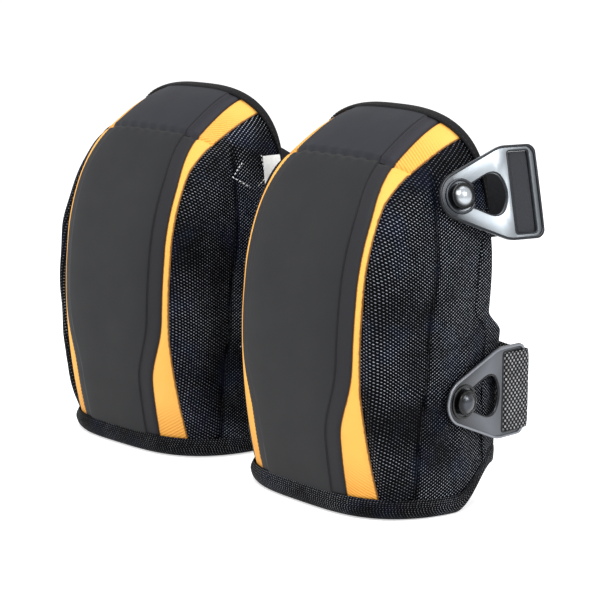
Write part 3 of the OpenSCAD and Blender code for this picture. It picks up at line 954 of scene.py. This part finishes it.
def windowLine(grow=0):
    middle, r = buckle["windowAt"] - buckle["windowRadius"], buckle["windowRadius"] + grow
    turn, end = math.radians(buckle["windowAngle"]), buckle["windowAngle"] - 18
    stem = arc((0, 0), stud["stem"] + grow, 75, 285, 20)
    bow = arc((middle, 0), r, -end, end, 14)
    corner = Vector((middle + r * math.cos(turn), r * math.sin(turn)))
    side = corner.lerp(Vector(stem[0]), 0.32)
    last, steps = Vector(bow[-1]), np.linspace(0, 1, 7)[:-1]
    ease = [side.lerp(corner, t).lerp(corner.lerp(last, t), t) for t in steps]
    return [*stem, *[(x, -y) for x, y in ease], *bow, *[tuple(p) for p in ease[::-1]]]


def slotLine(grow=0):
    low, high = buckle["slot"][0] - grow, buckle["slot"][1] + grow
    half = buckle["slotTall"] / 2 + grow
    return rounded([(low, -half), (high, -half), (high, half), (low, half)], 1.6 + grow, 5)


def cutPlate(lines, low, high, soft):  # a flat plate with holes and eased edges
    mesh = bmesh.new()
    edges = []
    for line in lines:
        verts = [mesh.verts.new((x, y, low)) for x, y in line]
        edges += [mesh.edges.new(ends) for ends in zip(verts, verts[1:] + verts[:1])]
    bmesh.ops.triangle_fill(mesh, use_beauty=True, edges=edges, normal=(0, 0, 1))
    pushed = bmesh.ops.extrude_face_region(mesh, geom=mesh.faces[:], use_keep_orig=True)
    tops = [item for item in pushed["geom"] if isinstance(item, bmesh.types.BMVert)]
    bmesh.ops.translate(mesh, vec=(0, 0, high - low), verts=tops)
    bmesh.ops.recalc_face_normals(mesh, faces=mesh.faces[:])
    rims = []
    for edge in mesh.edges:
        a, b = (abs(face.normal.z) for face in edge.link_faces)
        if abs(a - b) > 0.5:
            rims.append(edge)
    say = {"segments": 3, "profile": 0.5, "affect": "EDGES", "material": -1, "clamp_overlap": True}
    bmesh.ops.bevel(mesh, geom=rims, offset=soft, **say)
    return asData(mesh, "plate")


def buckleMesh():
    low, top = stud["plateAt"], stud["plateAt"] + stud["plateThick"]
    plate = cutPlate([plateLine(0), windowLine(), slotLine()], low, top - 0.8, buckle["soft"])
    rim = cutPlate([plateLine(0.15), plateLine(buckle["rim"])], top - 1.7, top, 0.4)
    lip = cutPlate([windowLine(1.3), windowLine(0.1)], top - 1.5, top - 0.35, 0.35)
    slotLip = cutPlate([slotLine(1.1), slotLine(0.1)], top - 1.5, top - 0.35, 0.35)
    inside, outside = buckle["ring"]
    ring = arc((0, 0), outside, 30, 330, 40) + arc((0, 0), inside, 330, 30, 40)
    boss = cutPlate([ring], top - 1.5, top + 0.05, 0.35)
    plateEnd, rimCount = len(plate.vertices), len(rim.vertices)
    data = joined(plate, rim, lip, slotLip, boss)
    spots = np.array([tuple(v.co) for v in data.vertices])
    x = spots[:, 0]
    order = np.arange(len(spots))
    onRim = (order >= plateEnd) & (order < plateEnd + rimCount)
    # painted shade: the lips, the boss and the plate's sides are held at the dark colour
    paintedShadeParts = ~onRim & ((order >= plateEnd) | (spots[:, 2] < top - 1.3))
    farBarShade = (1 - 0.45 * smooth((x - 24) / 14)) * (1 - 0.75 * smooth((x - 46) / 8))
    # painted light: this mark paints the arms pale as lit and fades to painted shade at the tip and
    # towards the far bar
    marked(data, "arms", smooth((x + 4) / 12) * farBarShade * ~paintedShadeParts)
    # the rims mark carries a painted edge: dark shade on the upper plate, a highlight on the lower
    marked(data, "rims", onRim * 1.0)
    return data


def spun(profile, steps=64):
    mesh = bmesh.new()
    line = [mesh.verts.new((x, 0, z)) for x, z in profile]
    edges = [mesh.edges.new(ends) for ends in zip(line, line[1:])]
    say = {"cent": (0, 0, 0), "axis": (0, 0, 1), "angle": 2 * math.pi, "use_merge": True}
    bmesh.ops.spin(mesh, geom=[*line, *edges], steps=steps, **say)
    bmesh.ops.remove_doubles(mesh, verts=mesh.verts[:], dist=0.001)
    bmesh.ops.recalc_face_normals(mesh, faces=mesh.faces[:])
    return asData(mesh, "spun")


def buttonMesh():
    r, low = stud["buttonRadius"], stud["buttonAt"]
    dome = [(x, low + 4.9 + math.sqrt(8.6**2 - x * x) - 8.6) for x in np.linspace(0, r - 1.9, 9)]
    lip = [(1.5, 2.05), (1.2, 1.95), (0.75, 2.2), (0.3, 2.1)]
    lip += [(0.05, 1.7), (0, 1), (0.2, 0.35), (0.7, 0)]
    lip = [(r - a, low + b) for a, b in lip]
    hole = [(2.35, low), (2.35, low + 2), (0, low + 2)]
    data = spun([*dome, *lip, *hole])
    far = np.array([math.hypot(v.co.x, v.co.y) for v in data.vertices])
    # painted highlight: the dome mark paints the button's middle pale
    marked(data, "dome", 1 - smooth((far - 4.4) / 1.8))
    return data


for level, f in frames.items():
    for name, data, look, node, body in (
        ("Buckle", buckleMesh(), level + "Plate", "buckle", "slider"),
        ("Button", buttonMesh(), level + "Button", "button", "swivel"),
    ):
        data.transform(frameMatrix(f))
        rest = ([f"{level}_{node}"], f"{level}_{body}", 35, name == "Buckle")
        pair(level.title() + name, data, look, "gloss_black", *rest)
for name, node in frame["nodes"].items():
    if name.endswith(("_stud", "_washer")):
        node.data.materials.clear()
        node.data.materials.append(looks["steel"])
print("buckles done")

# Straps

strap = {
    "wide": 50,
    "thick": 1.8,
    "loop": 58,
    "gap": 0.25,
    "run": 0.3,
    "bend": 4,
    "lift": 1.1,
    "anchors": {"upper": (12.8, 3.4), "lower": (4.6, 0.8)},
}
anchorCols, anchorLift = (-12.9, -10.2), 0.6


def wallDepth(r, deep):
    return thickness(np.asarray(r, float)) * (1 + deep / pad["wallThick"])


def anchorFront(spot):
    return wallDepth(spot["r"], anchorLift)


def anchorBack(spot):
    return wallDepth(spot["r"], anchorLift + strap["thick"] - 0.6 * roll(spot["edge"], 2, 1))


def strapCurve(level):
    f = frames[level]
    row, clear = strap["anchors"][level]
    low = stud["plateAt"] - strap["gap"] - strap["thick"] - strap["run"]
    reach = buckle["reach"]
    onPatch = wallDepth(row, anchorLift + 1.5 * strap["thick"] + clear)
    sewn, leaving = (place(anchorCols[0] + n, row, onPatch) for n in (0.6, -0.6))
    far, out = reach + strap["bend"], strap["bend"]
    near = low + strap["lift"]
    path = [(reach - 9, near), (reach + 1, near), (far, near), (far, low - out), (far, low - 2 * out)]
    bend = [framed(f, [x, 0, z]) for x, z in path]
    back = pad["depth"] + strap["loop"]
    run = [
        bend[4],
        framed(f, [far, 0, low - 2 * out - 24]),
        [0, back + 3, (f[0][2] + sewn[2]) / 2],
        [-pad["widths"][0] / 2 * 0.9, back + 8, sewn[2]],
        leaving + [2, 46, 0],
        mix(sewn, leaving, 2) + [1.5, 0, 0],
        leaving,
        sewn,
    ]
    up = unit(place(anchorCols[0], row + 1, onPatch) - place(anchorCols[0], row - 1, onPatch))
    return bend, run, [f[2], f[2], [0, 0, 1], up, up]


def ribbon(line, wide, across=10, width=None, thick=None):  # points, and their width directions
    width, thick = width or strap["wide"], thick or strap["thick"]
    run = unit(np.gradient(line, axis=0))
    wide = unit(wide - run * np.sum(run * wide, -1, keepdims=True))
    out = unit(np.cross(run, wide))
    s = np.sin(np.linspace(-1, 1, across + 1) * math.pi / 2)
    body = line[:, None] + wide[:, None] * s[:, None] * width / 2
    plump = (thick / 2) * (1 - 0.75 * np.abs(s) ** 10)[:, None]
    front, back = body + out[:, None] * plump, body - out[:, None] * plump
    return slab((across, len(line) - 1), front, back, measured(front))


leadLooks = {"upper": ("smoothStrap", "smooth_strap"), "lower": ("wovenStrap", "woven_strap")}
turns = {  # (distance, height, measured from the strap below or from the plate)
    "upper": [  # fills the slot just under the plate's face and tucks under the middle bar
        (51.7, 0.2, True), (51, 0.1, False), (49.4, 0.7, False), (45.2, 0.8, False), (42, 0.75, False),
        (39.6, 0.4, False), (38.6, -0.6, False), (39.6, -1.4, False), (43, 0, True),
    ],
    "lower": [  # wraps over the far bar and doubles back on the strap
        (50, 0, True), (46, 0.1, True), (40, 0.3, True), (38.5, 0.4, False), (39.8, 2.0, False),
        (45, 2.7, False), (51, 3.5, False), (55, 3.85, False), (58.4, 3.7, False), (59.9, 2.0, False),
        (60.2, 0.4, False), (60.4, -0.8, False),
    ],
}


def sided(side, *points):  # shared places of one pad's points
    mirror = np.array([1 if side == "right" else -1, 1, 1])
    return [tuple(world(p) * mirror) for p in points]


for level, f in frames.items():
    bend, route, wide = strapCurve(level)
    look, slotName = leadLooks[level]
    run = through(bez(route, np.linspace(0, 1, 60)), 150)
    band = ribbon(run, bez(wide, np.linspace(0.2, 1, 150)))
    pieces = pair(f"{level.title()}Strap", band, look, slotName, [f"{level}_strap"], None)
    for side, obj in pieces.items():
        start, end = sided(side, [0, *bend[4][1:]], bend[4] + [-4, 0, 0])
        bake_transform(obj)
        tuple(start)
        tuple(end)

    local = np.stack([(bez(bend, np.linspace(1, 0, 40)) - f[0]) @ axis for axis in f[1:]], -1)
    low = local[-1][2]
    turn = [(x, 0, z + (low if onStrap else stud["plateAt"])) for x, z, onStrap in turns[level]]
    keep = local[local[:, 0] > 53]
    whole = through(np.vstack([keep[:: max(1, len(keep) // 8)], turn]), 90)
    lead = ribbon(framed(f, whole), np.repeat(f[2][None], 90, 0), width=strap["wide"] + 1.3)
    pieces = pair(f"{level.title()}StrapEnd", lead, look, slotName, [f"{level}_strap_end"], None)
    for side, obj in pieces.items():
        start, end = sided(side, bend[4], framed(f, [buckle["reach"] + 3, 0, low]))
        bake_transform(obj)
        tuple(start)
        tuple(end)
    row = strap["anchors"][level][0]
    half = strap["wide"] / 2 / (place(anchorCols[0], row + 1, 0) - place(anchorCols[0], row, 0))[2]
    spread = patch(anchorCols, (row - half, row + half), (24, 40), anchorFront, anchorBack)
    pair(f"{level.title()}Anchor", spread, look, slotName, [f"{level}_anchor"])
print("straps done")

# Stitches

stitches = {"pitch": 3.4, "long": 2.3, "wide": 0.55, "high": 0.4}
table = np.meshgrid(np.linspace(trimCol, rearCol, 141), np.linspace(0, topRow, 381))
tablePoints = place(table[0], table[1], 0)


def onWall(y, z):  # the column and row of a place on the side wall
    gap = np.hypot(tablePoints[..., 1] - y, tablePoints[..., 2] - z)
    spot = np.unravel_index(np.argmin(gap), gap.shape)
    return table[0][spot], table[1][spot]


def seamLine(spots, depth=-0.7, **change):  # stitches that follow columns and rows
    say = {**stitches, **change}
    spots = np.asarray(spots, float)
    dense = np.vstack([mix(a, b, np.linspace(0, 1, 60)[:, None]) for a, b in zip(spots, spots[1:])])
    points = place(dense[:, 0], dense[:, 1], depth)
    far = distances(points)
    count = max(2, int(far[-1] / say["pitch"]))
    want = (np.arange(count) + 0.5) * far[-1] / count
    mid, ahead = along(want, far, points), along(want + 0.5, far, points)
    out = outward(*along(want, far, dense).T)
    run = unit(ahead - mid + 1e-9)
    wide = unit(np.cross(out, run))
    mesh = bmesh.new()
    for m, a, w, o in zip(world(mid), run, wide, out):
        sizes = [v * s / 2000 for v, s in ((a, say["long"]), (w, say["wide"]), (o, say["high"]))]
        grid = Matrix([[*(s[n] for s in sizes), m[n]] for n in range(3)] + [[0, 0, 0, 1]])
        bmesh.ops.create_uvsphere(mesh, u_segments=6, v_segments=4, radius=1, matrix=grid)
    return asData(mesh, "stitches")


def boxStitch(corners):
    spots = [onWall(y, z) for y, z in corners]
    return seamLine([(-c, r) for c, r in [*spots, spots[0]]], -0.9, pitch=3.0, long=2.2, wide=0.75)


upperBox = [(76.8, 217.5), (51, 194.9), (66.5, 184.8), (77.2, 193.1)]
lowerBox = [(60, 92), (84, 92), (84, 60), (60, 60), (52, 76)]
pair("BoxStitches", joined(boxStitch(upperBox), boxStitch(lowerBox)), "whiteThread", "tag")
rowsUp, rowsThigh = np.linspace(1, 13.7, 30), np.linspace(14.3, 18.4, 10)
seamCols, topCols = np.linspace(-4.8, 4.8, 20), np.linspace(-13.6, 13.6, 60)
hemCols, creaseHeights = np.linspace(-13.8, 13.8, 60), range(16, 204, 12)
fine = {"pitch": 2.8, "long": 2.0, "wide": 0.4, "high": 0.3}
finer = {**fine, "pitch": 2.4, "long": 1.6}
gather = {"pitch": 11, "long": 5.5, "wide": 1.0, "high": 0.9}
flank = []
for way in (1, -1):
    flank += [seamLine([(way * 4.86, r) for r in rowsUp], -0.45, **fine)]
    flank += [seamLine([(way * n, r) for r in rowsThigh], -1.1, **finer) for n in (4.3, 4.05)]
flank += [seamLine([(c, 13.93) for c in seamCols], 0.25, **gather)]
pair("SeamStitches", joined(*flank), "darkThread", "cap_skin")
topRun = seamLine([(c, topRow - 6 / 13) for c in topCols], -2.3, pitch=3.2)
hemRun = seamLine([(c, 11 / 20) for c in hemCols], -2.6, pitch=3.4)
crease = [onWall(np.interp(z, *sides["creaseLine"]), z) for z in creaseHeights]
runs = [topRun, hemRun]
for way in (1, -1):
    runs += [seamLine([(way * c, r) for c, r in crease], 1.5, pitch=3.2, wide=0.5)]
pair("BindingStitches", joined(*runs), "darkThread", "binding_tape")
print("stitches done")

# Care tag, left bare

tag = {"at": (71, 15.9), "wide": 14, "tall": 24, "thick": 0.35, "curl": 2.2}


def tagMesh():
    across, up = np.linspace(-0.5, 0.5, 19), np.linspace(-0.5, 0.5, 31)
    x, y = np.meshgrid(across * tag["wide"], up * tag["tall"])
    lift = 1.1 + tag["curl"] * smooth((x + 1) / 9) ** 2 + 0.25 * np.sin(y / 4)
    f = studFrame(*tag["at"])
    front = framed(f, np.stack([x, y, lift + tag["thick"]], -1))
    back = framed(f, np.stack([x, y, lift], -1))
    for sheet in (front, back):  # the wall that faces the other pad
        sheet[..., 0] *= -1
    return slab((18, 30), front, back, measured(front))


pair("CareTag", tagMesh(), "tag", "tag", ["care_tag"])

# Floor, light and camera

studio = {
    "target": (0.0126, 0.0084, 0.1111),
    "toward": (0.7386, -0.6467, 0.1902),
    "far": 1.4481,
    "lens": 125.94,
    "glow": (0.55, 0.55, 0.55, 1),
}

bpy.ops.mesh.primitive_plane_add(size=12, location=(0, 0, -0.0006))
floor = bpy.context.object
floor.name = "floor"
floorLook = Look("paleFloor", Roughness=0.9)
ray = floorLook.node("LightPath", {}, {}, 0)
gloss = floorLook.node("LightPath", {}, {}, 3)
seen = ray.above(gloss)
glow = floorLook.colour(seen, (0, 0, 0, 1), studio["glow"])
floorLook.finish(rgb("#f4f4f4"), 0.9, Emission_Color=glow)
floorLook.shader.inputs["Emission Strength"].default_value = 1.0
floor.data.materials.append(floorLook.material)

worldLook = bpy.data.worlds.new("studio")
bpy.context.scene.world = worldLook
worldLook.use_nodes = True
nodes, links = worldLook.node_tree.nodes, worldLook.node_tree.links
nodes.clear()
path = nodes.new("ShaderNodeLightPath")
lit, seen = nodes.new("ShaderNodeBackground"), nodes.new("ShaderNodeBackground")
blend = nodes.new("ShaderNodeMixShader")
out = nodes.new("ShaderNodeOutputWorld")
lit.inputs[0].default_value, lit.inputs[1].default_value = (0.95, 0.97, 1, 1), 0.5
seen.inputs[0].default_value, seen.inputs[1].default_value = (1, 1, 1, 1), 1.0
direct = nodes.new("ShaderNodeMath")
direct.operation = "MAXIMUM"
links.new(path.outputs["Is Camera Ray"], direct.inputs[0])
links.new(path.outputs["Is Glossy Ray"], direct.inputs[1])
links.new(direct.outputs[0], blend.inputs[0])
links.new(lit.outputs[0], blend.inputs[1])
links.new(seen.outputs[0], blend.inputs[2])
links.new(blend.outputs[0], out.inputs[0])


def lamp(name, spot, aim, size, power, tall=None):
    data = bpy.data.lights.new(name, "AREA")
    data.shape, data.size, data.size_y, data.energy = "RECTANGLE", size, tall or size, power
    obj = bpy.data.objects.new(name, data)
    bpy.context.scene.collection.objects.link(obj)
    obj.location = spot
    obj.rotation_euler = (Vector(aim) - Vector(spot)).to_track_quat("-Z", "Y").to_euler()


lamp("key", (1.0, -1.3, 1.7), (0, 0, 0.1), 1.0, 30)
lamp("fill", (-1.6, -1.4, 0.9), (0, 0, 0.12), 1.2, 12)
lamp("side", (1.9, 0.25, 1.15), (0.15, 0, 0.15), 0.7, 18)
lamp("top", (0, 0.4, 2.0), (0, 0, 0.1), 1.2, 14)

camera = bpy.data.objects.new("camera", bpy.data.cameras.new("camera"))
bpy.context.scene.collection.objects.link(camera)
bpy.context.scene.camera = camera
target, toward = Vector(studio["target"]), Vector(studio["toward"]).normalized()
camera.location = target + toward * studio["far"]
camera.rotation_euler = (-toward).to_track_quat("-Z", "Y").to_euler()
camera.data.lens, camera.data.sensor_width = studio["lens"], 36
camera.data.clip_start, camera.data.clip_end = 0.05, 30
bpy.context.scene.view_settings.view_transform = "Standard"
